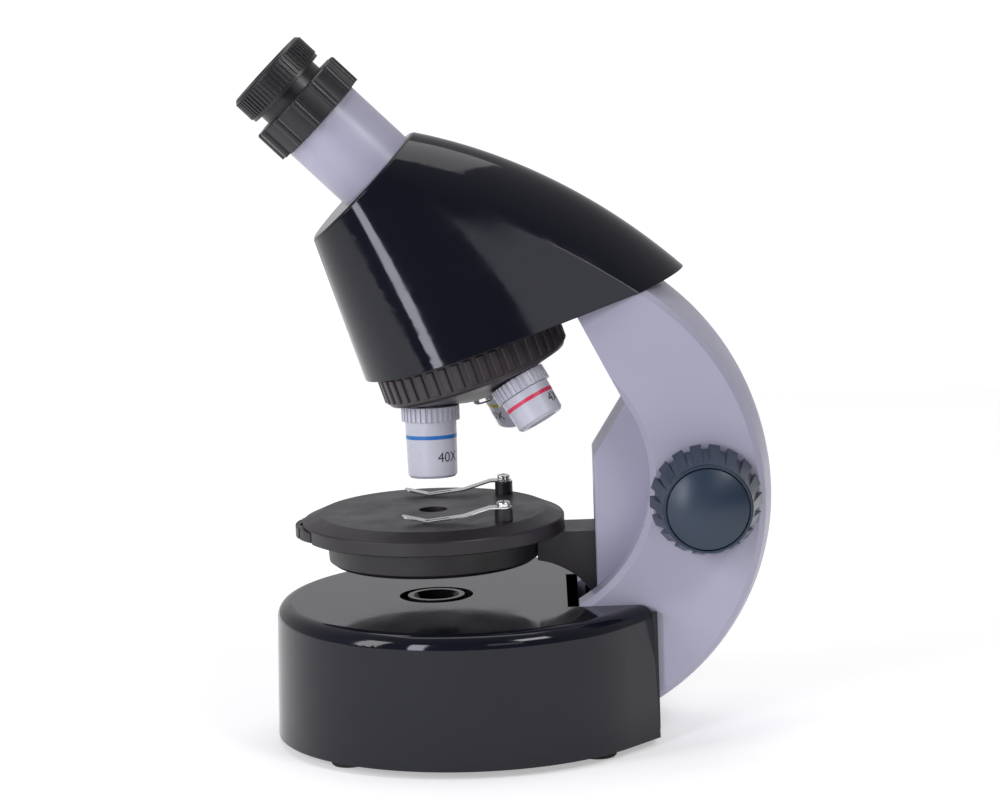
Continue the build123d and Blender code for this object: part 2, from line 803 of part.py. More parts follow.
with BuildPart() as nosepiece_ring:
    with BuildSketch(nose_section):
        with BuildLine():
            Polyline(
                (ring_bore, -0.5),
                (29.2, -0.5),
                (29.2, -9.6),
                (28.6, -cone_depth(28.6)),
                (ring_bore, -cone_depth(ring_bore)),
                close=True,
            )
        make_face()
    revolve(axis=nose_axis)
    with BuildSketch(nose_plane(1.2)):
        with PolarLocations(29.3, 44):
            RectangleRounded(1.4, 2.6, 0.6)
    extrude(amount=-7.6)
save(nosepiece_ring, "nosepiece_ring")

with BuildPart() as nosepiece_cone:
    with BuildSketch(nose_section):
        with BuildLine():
            Polyline(
                (0, 2.6 - cone_depth(8)),
                (8, 2.6 - cone_depth(8)),
                (ring_bore, 2.6 - cone_depth(ring_bore)),
                (ring_bore, -cone_depth(ring_bore)),
                (8, -cone_depth(8)),
                (0, -cone_depth(8)),
                close=True,
            )
        make_face()
    revolve(axis=nose_axis)
    with BuildSketch(nose_plane(8)):
        Circle(2.5 + running)
    extrude(amount=-20, mode=Mode.SUBTRACT)
    for turn in (turret_turn, turret_turn + 120, turret_turn - 120):
        with BuildSketch(Plane(origin=(axis_x, 0, 100), z_dir=(0, 0, 1))) as bore:
            Circle(5.0)
        hole = extrude(bore.sketch, amount=20, mode=Mode.PRIVATE)
        add(hole.rotate(nose_axis, turn), mode=Mode.SUBTRACT)
save(nosepiece_cone, "nosepiece_cone")

with BuildPart() as nosepiece_screw:
    with BuildSketch(nose_plane(-3.6)):
        Circle(2.5)
    extrude(amount=-(3.6 + cone_depth(8) + gap))
    with BuildSketch(nose_plane(cone_depth(8) + gap)):
        Circle(4.6)
    extrude(amount=-1.8)
    chamfer(nosepiece_screw.faces().sort_by(nose_axis)[0].edges(), 0.6)
    with BuildSketch(nose_plane(cone_depth(8) + gap + 1.8)):
        Rectangle(7.0, 1.0)
    extrude(amount=0.9, mode=Mode.SUBTRACT)
save(nosepiece_screw, "nosepiece_screw")

# leaf spring with a ball that clicks each objective into line
with BuildPart() as nosepiece_detent:
    with BuildSketch(nose_plane(0.2)):
        with Locations((-13, 0)):
            Rectangle(18, 5)
    extrude(amount=0.5)
    with BuildSketch(nose_plane(4.0)):
        with Locations((-19, 0)):
            Circle(2.0)
    extrude(amount=3.8)
    fillet(nosepiece_detent.faces().sort_by(nose_axis)[0].edges(), 1.6)
save(nosepiece_detent, "nosepiece_detent")

collar_top = 105.3
objective_lengths = {
    "40x": (22.3, turret_turn),
    "4x": (15.0, turret_turn + 120),
    "10x": (17.5, turret_turn - 120),
}

for power, (length, turn) in objective_lengths.items():
    with BuildPart() as barrel:
        with BuildSketch(level(collar_top)):
            Circle(5.0)
        extrude(amount=3.4)
        with BuildSketch(side_plane()):
            with BuildLine():
                tip = collar_top - length
                Polyline(
                    (0, collar_top),
                    (7.2, collar_top),
                    (7.2, collar_top - 4.7),
                    (8.0, collar_top - 4.7),
                    (7.65, tip + 0.8),
                    (6.9, tip),
                    (0, tip),
                    close=True,
                )
            make_face()
        revolve(axis=Axis((axis_x, 0, 0), (0, 0, 1)))
        with BuildSketch(level(tip)):
            Circle(2.6)
        extrude(amount=length + 5, mode=Mode.SUBTRACT)
        with BuildSketch(level(tip)):
            Circle(5.2)
        extrude(amount=1.0, taper=45, mode=Mode.SUBTRACT)
    with BuildPart() as turned_barrel:
        add(barrel.part.rotate(nose_axis, turn))
    save(turned_barrel, f"objective_{power}_barrel")
    with BuildPart() as grip:
        with BuildSketch(level(collar_top - 4.6)):
            Circle(8.6)
            with PolarLocations(8.7, 32):
                Rectangle(0.7, 0.8)
            Circle(7.2, mode=Mode.SUBTRACT)
        extrude(amount=4.5)
    with BuildPart() as turned_grip:
        add(grip.part.rotate(nose_axis, turn))
    save(turned_grip, f"objective_{power}_grip")
    with BuildPart() as front_lens:
        with BuildSketch(level(tip + 1.2)):
            Circle(2.6)
        extrude(amount=1.6)
    with BuildPart() as turned_lens:
        add(front_lens.part.rotate(nose_axis, turn))
    save(turned_lens, f"objective_{power}_lens")

# ---------------------------------------------------------------- stage
optical_axis = Axis((axis_x, 0, 0), (0, 0, 1))
plate_under = stage_top - 2.4
skirt = 2.4
wheel_gap = 0.4


def wheel_sketch(radius):
    """Circle on the filter wheel's own axis."""
    with Locations((-wheel_offset, 0)):
        Circle(radius)


with BuildPart() as stage_plate:
    with BuildSketch(side_plane()):
        with BuildLine():
            Polyline(
                (stage_hole, stage_top),
                (stage_land, stage_top),
                (stage_radius, stage_rim_top),
                (stage_radius, stage_rim_low),
                (stage_radius - skirt, stage_rim_low),
                (stage_radius - skirt, stage_rim_top - 1.4),
                (stage_land, plate_under),
                (stage_hole, plate_under),
                close=True,
            )
        make_face()
    revolve(axis=optical_axis)
    chamfer(stage_plate.edges().filter_by(GeomType.CIRCLE).sort_by(SortBy.RADIUS)[-2:], 0.3)
    # gap in the rim where the filter wheel comes through, and where the bracket enters
    with BuildSketch(level(stage_rim_low - 1)):
        wheel_sketch(wheel_radius + wheel_gap)
    extrude(amount=wheel_high + wheel_gap - stage_rim_low + 1, mode=Mode.SUBTRACT)
    with BuildSketch(level(stage_rim_low - 1)):
        with Locations((stage_radius, 0)):
            Rectangle(20, 2 * bracket_half)
    extrude(amount=bracket_top - stage_rim_low + 1.01, mode=Mode.SUBTRACT)
    with BuildSketch(level(plate_under)):
        with Locations((clip_post[0], clip_post[1]), (clip_post[0], -clip_post[1])):
            Circle(1.5)
    extrude(amount=5, mode=Mode.SUBTRACT)
save(stage_plate, "stage_plate")

flange_top = stage_rim_low + 1.0
with BuildPart() as stage_cup:
    with BuildSketch(side_plane()):
        with BuildLine():
            Polyline(
                (7.0, cup_low),
                (cup_radius - 1.6, cup_low),
                (cup_radius, cup_low + 1.2),
                (cup_radius + 0.6, stage_rim_low),
                (stage_radius - skirt - 0.02, stage_rim_low),
                (stage_radius - skirt - 0.02, flange_top),
                (cup_radius - 2.0, flange_top),
                (cup_radius - 2.4, cup_low + 2.2),
                (7.0, cup_low + 2.2),
                close=True,
            )
        make_face()
    revolve(axis=optical_axis)
    with BuildSketch(level(wheel_low - wheel_gap)):
        wheel_sketch(wheel_radius + wheel_gap)
    extrude(amount=10, mode=Mode.SUBTRACT)
    with BuildSketch(level(cup_low)):
        with Locations((-wheel_offset, 0)):
            Circle(4.5)
    extrude(amount=wheel_low - wheel_gap - cup_low)
    with BuildSketch(level(cup_low + 2.2)):
        with Locations((-wheel_offset, 0)):
            Circle(2.5)
    extrude(amount=10, mode=Mode.SUBTRACT)
save(stage_cup, "stage_cup")

with BuildPart() as wheel_pin:
    with BuildSketch(level(cup_low + 2.2)):
        wheel_sketch(2.5)
    extrude(amount=plate_under - cup_low - 2.2)
save(wheel_pin, "wheel_pin")

filter_radius = 3.8
filter_count = 6
with BuildPart() as filter_wheel:
    with BuildSketch(level(wheel_low)):
        wheel_sketch(wheel_radius)
        with Locations((-wheel_offset, 0)):
            Circle(2.5 + running, mode=Mode.SUBTRACT)
            with PolarLocations(wheel_offset, filter_count):
                Circle(filter_radius, mode=Mode.SUBTRACT)
            with PolarLocations(wheel_radius, 18):
                Rectangle(1.0, 1.4, mode=Mode.SUBTRACT)
    extrude(amount=wheel_high - wheel_low)
save(filter_wheel, "filter_wheel")

with BuildPart() as filter_discs:
    with BuildSketch(level(wheel_low + 1.2)):
        with Locations((-wheel_offset, 0)):
            with PolarLocations(wheel_offset, filter_count - 1, 60, 240, endpoint=True):
                Circle(filter_radius)
    extrude(amount=1.0)
save(filter_discs, "filter_discs")

# carriage: bracket under the stage, slide inside the column and the rack behind it
block_front = column_front + column_wall + gap
block_half = column_half - column_wall - gap
heel = 43.6  # lowest part of the bracket, in the pocket of the base
arch = [(48.6, 45.9), (45.1, 50.1), (40.8, 53.2), (36.4, 55.2), (31.9, 56.2)]
with BuildPart() as stage_bracket:
    with BuildSketch(side_plane()):
        with BuildLine():
            Polyline(
                arch[-1],
                (30.0, 56.3),
                (30.0, bracket_top),
                (56.0, bracket_top),
                (56.0, heel),
                (50.4, heel),
            )
            Spline((50.4, heel), *arch)
        make_face()
    extrude(amount=bracket_half, both=True)
    with BuildSketch(level(cup_low - 5)):
        Circle(cup_radius + 0.62)
    extrude(amount=20, mode=Mode.SUBTRACT)
    with BuildSketch(level(stage_rim_low)):
        Circle(stage_radius + 0.01)
    extrude(amount=20, mode=Mode.SUBTRACT)
    with BuildSketch(side_plane()):
        with Locations(((block_front + 60) / 2, 62.5)):
            Rectangle(60 - block_front, 30.0)
    extrude(amount=block_half, both=True)
    with BuildSketch(side_plane()):
        with Locations((66.5, 76.5)):
            Rectangle(15.0, 23.0)
        with Locations((59.0, 72.0)):
            Rectangle(2.0, 10.0)
    extrude(amount=4.0, both=True)
save(stage_bracket, "stage_bracket")

tooth_pitch = pi * tooth_module
tooth_half = tooth_pitch / 4 - 0.2
flank = tan(radians(20))
rack_line = knob_centre[0] - pitch_radius
rack_back = 74.0
rack_root = rack_line - 1.25 * tooth_module
with BuildPart() as focus_rack:
    with BuildSketch(side_plane()):
        with Locations(((rack_back + rack_root) / 2, knob_centre[1])):
            Rectangle(rack_root - rack_back, 6.5 * tooth_pitch)
        for step in range(-3, 3):
            middle = knob_centre[1] + (step + 0.5) * tooth_pitch
            tip_half = tooth_half - 0.9 * tooth_module * flank
            root_half = tooth_half + 1.25 * tooth_module * flank
            with BuildLine():
                Polyline(
                    (rack_root - 0.5, middle - root_half),
                    (rack_root, middle - root_half),
                    (rack_line + 0.9 * tooth_module, middle - tip_half),
                    (rack_line + 0.9 * tooth_module, middle + tip_half),
                    (rack_root, middle + root_half),
                    (rack_root - 0.5, middle + root_half),
                    close=True,
                )
            make_face()
    extrude(amount=4.0, both=True)
save(focus_rack, "focus_rack")

with BuildPart() as focus_pinion:
    with BuildSketch(rim_plane(knob_centre)):
        Circle(pitch_radius - 1.25 * tooth_module)
        with PolarLocations(0, pinion_teeth):
            with BuildLine():
                Polyline(
                    (3.6, -1.15),
                    (pitch_radius - 1.25 * tooth_module, -1.15),
                    (pitch_radius, -tooth_half),
                    (pitch_radius + 0.8 * tooth_module, -0.32),
                    (pitch_radius + 0.8 * tooth_module, 0.32),
                    (pitch_radius, tooth_half),
                    (pitch_radius - 1.25 * tooth_module, 1.15),
                    (3.6, 1.15),
                    close=True,
                )
            make_face()
        Circle(shaft_radius, mode=Mode.SUBTRACT)
    extrude(amount=5.0, both=True)
save(focus_pinion, "focus_pinion")

knob_start = arm_half + 0.5
knob_face = 42.0
with BuildPart() as focus_shaft:
    with BuildSketch(rim_plane(knob_centre)):
        Circle(shaft_radius)
    extrude(amount=knob_face - 4, both=True)
save(focus_shaft, "focus_shaft")

with BuildPart() as knob_right:
    with BuildSketch(rim_plane(knob_centre, -knob_start)):
        Circle(15.4)
    extrude(amount=3.0)
    with BuildSketch(rim_plane(knob_centre, -knob_start - 1.5)):
        Circle(15.9)
        with PolarLocations(16.0, 18):
            Rectangle(2.6, 3.6)
    extrude(amount=knob_face - knob_start - 2.5, taper=8)
    with BuildSketch(rim_plane(knob_centre, -knob_face + 1.5)):
        Circle(13.6)
    extrude(amount=1.5)
    with BuildSketch(rim_plane(knob_centre, -knob_face)):
        Circle(12.9)
    extrude(amount=-1.6, mode=Mode.SUBTRACT)
    with BuildSketch(rim_plane(knob_centre, -knob_start)):
        Circle(shaft_radius)
    extrude(amount=knob_face - 4 - knob_start, mode=Mode.SUBTRACT)
save(knob_right, "focus_knob_right")

dome_rise = 3.2
dome_radius = (12.5**2 + dome_rise**2) / (2 * dome_rise)
with BuildPart() as cap_right:
    with BuildSketch(rim_plane(knob_centre, -knob_face + 1.6)):
        Circle(12.5)
    extrude(amount=1.6 + dome_rise)
    crown = rim_plane(knob_centre, dome_radius - knob_face - dome_rise).origin
    with Locations(crown):
        Sphere(dome_radius, mode=Mode.INTERSECT)
save(cap_right, "knob_cap_right")

with BuildPart() as knob_left:
    mirror(knob_right.part, about=Plane.XZ)
save(knob_left, "focus_knob_left")

with BuildPart() as cap_left:
    mirror(cap_right.part, about=Plane.XZ)
save(cap_left, "knob_cap_left")

# spring clips on their posts
post_height = 4.0
post_top = stage_top + post_height
clip_thickness = 0.5
clip_low = post_top + 0.1
post_spots = [(clip_post[0], clip_post[1]), (clip_post[0], -clip_post[1])]
with BuildPart() as clip_posts:
    with BuildSketch(level(stage_top)):
        with Locations(*post_spots):
            Circle(2.8)
    extrude(amount=post_height)
    with BuildSketch(level(plate_under)):
        with Locations(*post_spots):
            Circle(1.5)
    extrude(amount=stage_top - plate_under)
    with BuildSketch(level(post_top)):
        with Locations(*post_spots):
            Circle(0.9)
    extrude(amount=-4, mode=Mode.SUBTRACT)
save(clip_posts, "clip_posts")

with BuildPart() as clip_screws:
    for spot in post_spots:
        seat = Plane(origin=(axis_x + spot[0], spot[1], clip_low + clip_thickness + 0.1), z_dir=(0, 0, 1))
        add(pan_screw(seat, 2.1, 1.5, 0.9, 4.5))
save(clip_screws, "clip_screws")

clip_width = 4.4
contact_x = -1.5
clip_track = [(clip_post[0], clip_low), (18.0, clip_low), (9.5, 73.2), (contact_x, 72.0), (-9.2, 73.9)]
with BuildPart() as clip_right:
    with BuildSketch(side_plane(-clip_post[1])):
        with BuildLine():
            upper = [(x, z + clip_thickness) for x, z in reversed(clip_track)]
            Polyline(*clip_track, *upper, close=True)
        make_face()
    extrude(amount=clip_width / 2, both=True)
    with BuildSketch(level(clip_low)):
        with Locations((clip_post[0], -clip_post[1])):
            Circle(clip_width / 2 + 0.3)
    extrude(amount=clip_thickness)
    with BuildSketch(level(stage_top)):
        with Locations((clip_post[0], -clip_post[1])):
            Circle(0.9 + running)
    extrude(amount=10, mode=Mode.SUBTRACT)
    with BuildSketch(level(stage_top)):
        with Locations((contact_x + 3.2, -clip_post[1])):
            Rectangle(7.5, 1.3)
    extrude(amount=10, mode=Mode.SUBTRACT)
    fillet(clip_right.edges().filter_by(Axis.Z).group_by(Axis.X)[0], 1.6)
save(clip_right, "clip_right")

with BuildPart() as clip_left:
    mirror(clip_right.part, about=Plane.XZ)
save(clip_left, "clip_left")
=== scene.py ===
import json
from math import cos, pi, radians, sin

import bmesh
import bpy
from mathutils import Matrix, Vector


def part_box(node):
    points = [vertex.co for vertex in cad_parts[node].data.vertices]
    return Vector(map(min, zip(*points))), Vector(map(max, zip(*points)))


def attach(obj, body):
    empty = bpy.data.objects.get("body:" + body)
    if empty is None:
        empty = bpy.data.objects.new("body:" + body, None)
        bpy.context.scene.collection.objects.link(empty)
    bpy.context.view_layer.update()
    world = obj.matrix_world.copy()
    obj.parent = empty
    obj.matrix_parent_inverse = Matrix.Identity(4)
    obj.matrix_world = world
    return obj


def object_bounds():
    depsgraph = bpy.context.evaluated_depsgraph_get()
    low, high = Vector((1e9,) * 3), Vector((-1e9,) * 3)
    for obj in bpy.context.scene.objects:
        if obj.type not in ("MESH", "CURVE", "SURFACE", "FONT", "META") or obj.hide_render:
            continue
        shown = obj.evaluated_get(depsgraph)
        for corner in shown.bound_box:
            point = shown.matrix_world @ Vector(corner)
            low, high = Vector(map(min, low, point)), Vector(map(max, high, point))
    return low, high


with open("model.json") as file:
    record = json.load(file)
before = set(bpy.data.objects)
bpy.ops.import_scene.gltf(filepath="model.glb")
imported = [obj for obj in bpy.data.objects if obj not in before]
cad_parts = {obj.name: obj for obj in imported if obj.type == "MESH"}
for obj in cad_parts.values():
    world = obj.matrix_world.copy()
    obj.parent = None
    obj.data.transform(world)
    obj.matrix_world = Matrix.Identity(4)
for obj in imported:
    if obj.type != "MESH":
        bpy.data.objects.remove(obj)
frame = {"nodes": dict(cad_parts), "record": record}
cad_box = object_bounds()
MM = 0.001

# ------------------------------------------------------------------ places read from the frame
lamp_low, lamp_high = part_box("lamp_bulb")
optical_x = (lamp_low.x + lamp_high.x) / 2
joints = {joint["name"]: joint for joint in frame["record"]["behaviour"]["joints"]}
nose_pivot = Vector(joints["nosepiece_turn"]["pos_m"])
nose_axis = Vector(joints["nosepiece_turn"]["axis"]).normalized()
object_low, object_high = cad_box
middle = (Vector(object_low) + Vector(object_high)) / 2


# ------------------------------------------------------------------ materials
def new_material(name):
    """Empty node material with its shader; returns the material, its nodes, its links and the shader."""
    material = bpy.data.materials.new(name)
    material.use_nodes = True
    nodes = material.node_tree.nodes
    nodes.clear()
    output = nodes.new("ShaderNodeOutputMaterial")
    shader = nodes.new("ShaderNodeBsdfPrincipled")
    material.node_tree.links.new(shader.outputs["BSDF"], output.inputs["Surface"])
    return material, nodes, material.node_tree.links, shader


def noise(nodes, links, scale, detail=4.0, roughness=0.55, stretch=None):
    """Noise texture in object space, its scale in features per metre."""
    place = nodes.new("ShaderNodeTexCoord")
    texture = nodes.new("ShaderNodeTexNoise")
    texture.inputs["Scale"].default_value = scale
    texture.inputs["Detail"].default_value = detail
    texture.inputs["Roughness"].default_value = roughness
    source = place.outputs["Object"]
    if stretch:
        mapping = nodes.new("ShaderNodeMapping")
        mapping.inputs["Scale"].default_value = stretch
        links.new(source, mapping.inputs["Vector"])
        source = mapping.outputs["Vector"]
    links.new(source, texture.inputs["Vector"])
    return texture.outputs["Fac"]


def spread(nodes, links, value, low, high, start=0.35, stop=0.65):
    """Carries a value's stretch from start to stop over to the range from low to high."""
    ranged = nodes.new("ShaderNodeMapRange")
    ranged.inputs["From Min"].default_value = start
    ranged.inputs["From Max"].default_value = stop
    ranged.inputs["To Min"].default_value = low
    ranged.inputs["To Max"].default_value = high
    links.new(value, ranged.inputs["Value"])
    return ranged.outputs["Result"]


def tint(nodes, links, value, colours, places=(0.32, 0.68)):
    """Colour ramp over a texture value, from one linear RGB colour to another."""
    ramp = nodes.new("ShaderNodeValToRGB")
    for element, place, colour in zip(ramp.color_ramp.elements, places, colours):
        element.position = place
        element.color = (*colour, 1)
    links.new(value, ramp.inputs["Fac"])
    return ramp.outputs["Color"]


def bumped(nodes, links, shader, layers, edge=0.0):
    """Chain of bump layers, each (height value, strength, distance), over edges rounded by a radius."""
    normal = None
    if edge:
        rounded = nodes.new("ShaderNodeBevel")
        rounded.samples = 6
        rounded.inputs["Radius"].default_value = edge
        normal = rounded.outputs["Normal"]
    for height, strength, distance in layers:
        bump = nodes.new("ShaderNodeBump")
        bump.inputs["Strength"].default_value = strength
        bump.inputs["Distance"].default_value = distance
        links.new(height, bump.inputs["Height"])
        if normal:
            links.new(normal, bump.inputs["Normal"])
        normal = bump.outputs["Normal"]
    links.new(normal, shader.inputs["Normal"])


def polished_plastic(name, dark, light, gloss, edge):
    """Polished dark moulding: faint orange peel, fine haze and hairline marks."""
    material, nodes, links, shader = new_material(name)
    cloud = noise(nodes, links, scale=22, detail=3)
    links.new(tint(nodes, links, cloud, (dark, light)), shader.inputs["Base Color"])
    haze = noise(nodes, links, scale=95, detail=6, roughness=0.6)
    links.new(spread(nodes, links, haze, gloss * 0.8, gloss * 1.6), shader.inputs["Roughness"])
    shader.inputs["IOR"].default_value = 1.40
    peel = noise(nodes, links, scale=120, detail=2)
    hairline = noise(nodes, links, scale=900, detail=3, roughness=0.7, stretch=(1.0, 1.0, 0.06))
    bumped(nodes, links, shader, [(peel, 0.05, 0.1 * MM), (hairline, 0.03, 0.01 * MM)], edge)
    return material


def moulded_plastic(name, dark, light, rough, grain, depth):
    """Satin moulding: spark-eroded grain, slow colour drift, slightly polished patches."""
    material, nodes, links, shader = new_material(name)
    drift = noise(nodes, links, scale=30)
    links.new(tint(nodes, links, drift, (dark, light)), shader.inputs["Base Color"])
    patches = noise(nodes, links, scale=70, detail=5, roughness=0.6)
    links.new(spread(nodes, links, patches, rough * 0.85, rough * 1.15), shader.inputs["Roughness"])
    shader.inputs["IOR"].default_value = 1.48
    fine = noise(nodes, links, scale=grain, detail=3, roughness=0.6)
    slow = noise(nodes, links, scale=60, detail=2)
    bumped(nodes, links, shader, [(slow, 0.04, 0.2 * MM), (fine, depth, 0.03 * MM)], edge=0.3 * MM)
    return material


def metal(name, dark, light, rough, stretch=None, anisotropy=0.0):
    """Bright metal with brushing or polishing marks."""
    material, nodes, links, shader = new_material(name)
    marks = noise(nodes, links, scale=1800, roughness=0.65, stretch=stretch)
    links.new(tint(nodes, links, marks, (dark, light)), shader.inputs["Base Color"])
    smear = noise(nodes, links, scale=300)
    links.new(spread(nodes, links, smear, rough * 0.7, rough * 1.4), shader.inputs["Roughness"])
    shader.inputs["Metallic"].default_value = 1.0
    shader.inputs["Anisotropic"].default_value = anisotropy
    bumped(nodes, links, shader, [(marks, 0.06, 0.01 * MM)], edge=0.15 * MM)
    return material


def clear_glass(name, colour):
    """Polished glass or clear plastic with faint smears."""
    material, nodes, links, shader = new_material(name)
    smear = noise(nodes, links, scale=400)
    shader.inputs["Base Color"].default_value = (*colour, 1)
    links.new(spread(nodes, links, smear, 0.02, 0.06), shader.inputs["Roughness"])
    shader.inputs["Transmission Weight"].default_value = 0.9
    shader.inputs["IOR"].default_value = 1.52
    shader.inputs["Coat Weight"].default_value = 0.3
    bumped(nodes, links, shader, [(smear, 0.02, 0.01 * MM)])
    return material


def ink(name, colour):
    """Printed ink: slightly uneven film over the plastic."""
    material, nodes, links, shader = new_material(name)
    film = noise(nodes, links, scale=900)
    darker = tuple(0.8 * channel for channel in colour)
    links.new(tint(nodes, links, film, (darker, colour)), shader.inputs["Base Color"])
    links.new(spread(nodes, links, film, 0.3, 0.45), shader.inputs["Roughness"])
    bumped(nodes, links, shader, [(film, 0.05, 0.01 * MM)])
    return material


# slot: darker and lighter colour, roughness, grains per metre, strength of the grain
mouldings = {
    "arm_grey": ((0.360, 0.350, 0.445), (0.380, 0.370, 0.470), 0.36, 2400, 0.08),
    "tube_grey": ((0.390, 0.380, 0.485), (0.415, 0.405, 0.51), 0.34, 2400, 0.07),
    "stage_black": ((0.015, 0.012, 0.014), (0.021, 0.017, 0.019), 0.42, 2200, 0.2),
    "black_plastic": ((0.012, 0.012, 0.0135), (0.018, 0.0175, 0.020), 0.34, 2400, 0.12),
    "knob_slate": ((0.016, 0.029, 0.052), (0.021, 0.037, 0.064), 0.34, 2000, 0.12),
    "turret_brown": ((0.025, 0.019, 0.022), (0.034, 0.026, 0.030), 0.40, 2200, 0.15),
    "objective_grey": ((0.50, 0.50, 0.57), (0.53, 0.53, 0.60), 0.28, 2600, 0.05),
    "foot_rubber": ((0.010, 0.010, 0.010), (0.02, 0.02, 0.02), 0.8, 1500, 0.4),
    "cell_jacket": ((0.02, 0.03, 0.05), (0.03, 0.04, 0.07), 0.3, 2000, 0.05),
    "circuit_board": ((0.01, 0.05, 0.02), (0.02, 0.08, 0.03), 0.3, 1500, 0.2),
}
# slot: darker and lighter colour, roughness, radius that the edges seem rounded by
polished = {
    "gloss_dark": ((0.0045, 0.0050, 0.0095), (0.006, 0.0066, 0.012), 0.07, 0.4 * MM),
    "reflector": ((0.010, 0.010, 0.011), (0.014, 0.014, 0.015), 0.1, 0.2 * MM),
}
# slot: darker and lighter colour, roughness, and for brushed metal its stretch and anisotropy
metals = {
    "steel_screw": ((0.70, 0.69, 0.68), (0.86, 0.85, 0.84), 0.12),
    "spring_steel": ((0.62, 0.60, 0.60), (0.78, 0.76, 0.76), 0.22, (0.05, 1, 1), 0.4),
}
glasses = {"lens_glass": (0.92, 0.95, 0.97), "filter_glass": (0.15, 0.45, 0.80)}

looks = {slot: polished_plastic(slot, *values) for slot, values in polished.items()}
looks.update({slot: moulded_plastic(slot, *values) for slot, values in mouldings.items()})
looks.update({slot: clear_glass(slot, colour) for slot, colour in glasses.items()})
looks.update({slot: metal(slot, *values) for slot, values in metals.items()})

slots = {entry["node"]: entry["material_slot"] for entry in frame["record"]["subparts"]}
for node_name, node in frame["nodes"].items():
    node.data.materials.clear()
    node.data.materials.append(looks[slots[node_name]])


# ------------------------------------------------------------------ marks on the objectives
collar_top = 105.3 * MM  # where an objective meets the cone, when it is on the optical axis
grip_height = 4.7 * MM  # from there down to the barrel's taper
mouth_height = 0.8 * MM  # chamfer below the taper
barrel_top_radius = 8.0 * MM
barrel_tip_radius = 7.65 * MM
film = 0.05 * MM  # how far the paint stands off the barrel
band_height = 1.2 * MM
mark_size = 4.4 * MM
mark_ink = ink("mark_ink", (0.02, 0.02, 0.025))


def add_piece(name, verts, faces, material, body):
    """Mesh piece that rides on a body and wears the material given."""
    mesh = bpy.data.meshes.new(name)
    mesh.from_pydata(verts, [], faces)
    mesh.update()
    piece = bpy.data.objects.new(name, mesh)
    bpy.context.scene.collection.objects.link(piece)
    for polygon in mesh.polygons:
        polygon.use_smooth = True
    mesh.materials.append(material)
    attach(piece, body)


def objective_frame(turn):
    """Matrix that carries the upright objective to its seat after a turn of the nosepiece."""
    spin = Matrix.Rotation(radians(turn), 4, nose_axis)
    return Matrix.Translation(nose_pivot) @ spin @ Matrix.Translation(-nose_pivot)


def paint_radius(depth, length):
    """Radius of the paint on an objective at a depth below its seat."""
    share = (depth - grip_height) / (length - mouth_height - grip_height)
    return barrel_top_radius + (barrel_tip_radius - barrel_top_radius) * share + film


def paint_point(radius, angle, depth):
    """Point of the paint on an upright objective."""
    return Vector((optical_x + radius * cos(angle), radius * sin(angle), collar_top - depth))


def colour_band(power, length, turn, depth, material):
    """Thin painted ring around an objective."""
    verts, faces = [], []
    steps = 96
    place = objective_frame(turn)
    for row_depth in (depth, depth + band_height):
        radius = paint_radius(row_depth, length)
        for step in range(steps):
            verts.append(place @ paint_point(radius, 2 * pi * step / steps, row_depth))
    for step in range(steps):
        after = (step + 1) % steps
        faces.append((step, after, steps + after, steps + step))
    add_piece(f"band_{power}", verts, faces, material, "nosepiece")


def flat_text(name, text):
    """Mesh of a text in small faces, so that it can be wrapped around a barrel."""
    curve = bpy.data.curves.new(name, "FONT")
    curve.body = text
    curve.size = mark_size
    curve.align_x = "CENTER"
    curve.resolution_u = 4
    holder = bpy.data.objects.new(name, curve)
    bpy.context.scene.collection.objects.link(holder)
    bpy.context.view_layer.update()
    flat = bpy.data.meshes.new_from_object(holder)
    bpy.data.objects.remove(holder)
    bpy.data.curves.remove(curve)
    fine = bmesh.new()
    fine.from_mesh(flat)
    bmesh.ops.triangulate(fine, faces=fine.faces)
    bmesh.ops.subdivide_edges(fine, edges=fine.edges, cuts=3, use_grid_fill=True)
    fine.to_mesh(flat)
    fine.free()
    return flat


def power_mark(power, length, turn, depth, facing):
    """Magnification number wrapped around an objective, upright when the objective points down."""
    flat = flat_text(f"text_{power}", power.upper())
    place = objective_frame(turn)
    verts = []
    for vertex in flat.vertices:
        vertex_depth = depth - vertex.co.y
        radius = paint_radius(vertex_depth, length)
        angle = radians(facing) + vertex.co.x / radius
        verts.append(place @ paint_point(radius, angle, vertex_depth))
    faces = [tuple(polygon.vertices) for polygon in flat.polygons]
    bpy.data.meshes.remove(flat)
    add_piece(f"mark_{power}", verts, faces, mark_ink, "nosepiece")


turret_turn = 12  # the nosepiece stands a little before its click
# power: length, turn on the nosepiece, depth of the band, depth and facing of the mark, paint
objectives = {
    "40x": (22.3, turret_turn, 8.9, 17.2, -60, ink("band_blue", (0.006, 0.16, 0.52))),
    "4x": (15.0, turret_turn + 120, 7.2, 12.0, -157, ink("band_red", (0.70, 0.03, 0.10))),
    "10x": (17.5, turret_turn - 120, 7.6, 13.6, -42, ink("band_yellow", (0.50, 0.45, 0.03))),
}
for power, (length, turn, band_depth, mark_depth, facing, paint) in objectives.items():
    colour_band(power, length * MM, turn, band_depth * MM, paint)
    power_mark(power, length * MM, turn, mark_depth * MM, facing)


# ------------------------------------------------------------------ floor, light and camera
def area_light(name, place, width, height, power, colour=(1, 1, 1)):
    """Soft box that faces the middle of the object; its power is in watts."""
    light = bpy.data.lights.new(name, "AREA")
    light.shape = "RECTANGLE"
    light.size = width
    light.size_y = height
    light.energy = power
    light.color = colour
    lamp = bpy.data.objects.new(name, light)
    lamp.location = place
    lamp.rotation_euler = (middle - Vector(place)).to_track_quat("-Z", "Y").to_euler()
    bpy.context.scene.collection.objects.link(lamp)


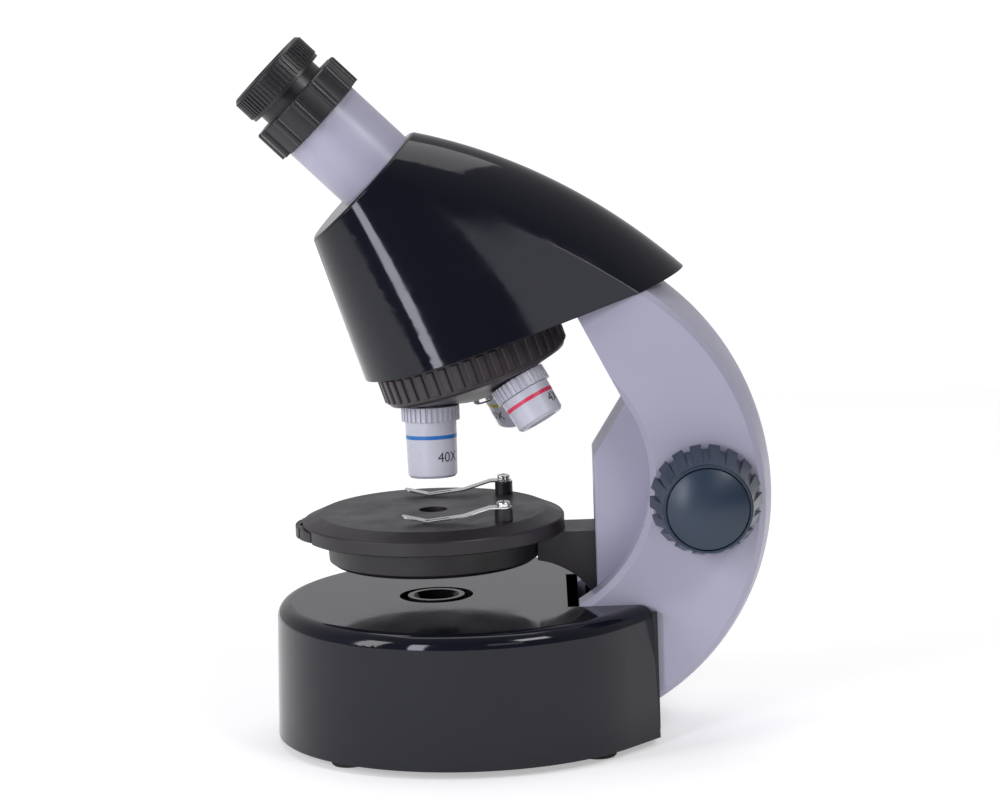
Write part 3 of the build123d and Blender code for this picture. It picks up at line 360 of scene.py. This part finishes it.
def pale_floor(half):
    """White table top that glows a little, so that only the contact shadows show on it."""
    mesh = bpy.data.meshes.new("floor")
    corners = [(-half, -half, 0), (half, -half, 0), (half, half, 0), (-half, half, 0)]
    mesh.from_pydata(corners, [], [(0, 1, 2, 3)])
    floor = bpy.data.objects.new("floor", mesh)
    bpy.context.scene.collection.objects.link(floor)
    material, nodes, links, shader = new_material("floor_paper")
    grain = noise(nodes, links, scale=40, detail=3)
    paper = tint(nodes, links, grain, ((0.80, 0.80, 0.80), (0.81, 0.81, 0.81)))
    links.new(paper, shader.inputs["Base Color"])
    shader.inputs["Roughness"].default_value = 0.9
    shader.inputs["Emission Color"].default_value = (1, 1, 1, 1)
    shader.inputs["Emission Strength"].default_value = 0.40
    mesh.materials.append(material)


def studio_world(front, back, seen):
    """White room, dim on the camera's side and brighter behind the object; the camera sees it plain."""
    world = bpy.data.worlds.new("studio")
    bpy.context.scene.world = world
    world.use_nodes = True
    nodes = world.node_tree.nodes
    links = world.node_tree.links
    sky = nodes["Background"]
    sky.inputs["Color"].default_value = (0.98, 0.97, 1.0, 1)
    place = nodes.new("ShaderNodeTexCoord")
    split = nodes.new("ShaderNodeSeparateXYZ")
    links.new(place.outputs["Generated"], split.inputs["Vector"])
    dim = spread(nodes, links, split.outputs["Y"], front, back, start=-0.7, stop=0.9)
    path = nodes.new("ShaderNodeLightPath")
    choose = nodes.new("ShaderNodeMix")
    links.new(path.outputs["Is Camera Ray"], choose.inputs["Factor"])
    links.new(dim, choose.inputs["A"])
    choose.inputs["B"].default_value = seen
    links.new(choose.outputs["Result"], sky.inputs["Strength"])


def place_camera(place, yaw, pitch, roll, focal_length):
    """Camera that looks along +Y, turned by yaw towards +X, by pitch downwards and by roll in its view."""
    yaw, pitch, roll = radians(yaw), radians(pitch), radians(roll)
    forward = Vector((sin(yaw) * cos(pitch), cos(yaw) * cos(pitch), -sin(pitch)))
    right = Vector((cos(yaw), -sin(yaw), 0))
    up = right.cross(forward)
    turned_right = cos(roll) * right + sin(roll) * up
    turned_up = -sin(roll) * right + cos(roll) * up
    data = bpy.data.cameras.new("camera")
    data.lens = focal_length
    data.sensor_width = 36
    camera = bpy.data.objects.new("camera", data)
    rotation = Matrix((turned_right, turned_up, -forward)).transposed().to_4x4()
    camera.matrix_world = Matrix.Translation(place) @ rotation
    bpy.context.scene.collection.objects.link(camera)
    bpy.context.scene.camera = camera


pale_floor(half=0.6)
studio_world(front=0.10, back=0.58, seen=1.05)
pale_blue = (0.86, 0.88, 1.0)
faint_blue = (0.90, 0.91, 1.0)
area_light("side_left", (-1.45, -0.75, 0.75), width=0.45, height=1.1, power=11)
area_light("strip_left", (-0.80, -1.28, 0.48), width=0.26, height=0.96, power=8.5, colour=pale_blue)
area_light("patch_right", (0.80, -0.88, 1.12), width=0.48, height=0.40, power=6.5)
area_light("dim_right", (0.50, -1.34, 0.72), width=0.55, height=0.35, power=0.9, colour=faint_blue)
area_light("top", (0.0, 0.5, 1.6), width=1.2, height=1.0, power=7)
bpy.context.scene.view_settings.view_transform = "Standard"
camera_spot = (optical_x + 0.0312, -1.3671, 0.3408)
place_camera(camera_spot, yaw=-0.38, pitch=9.76, roll=-2.02, focal_length=160.1)
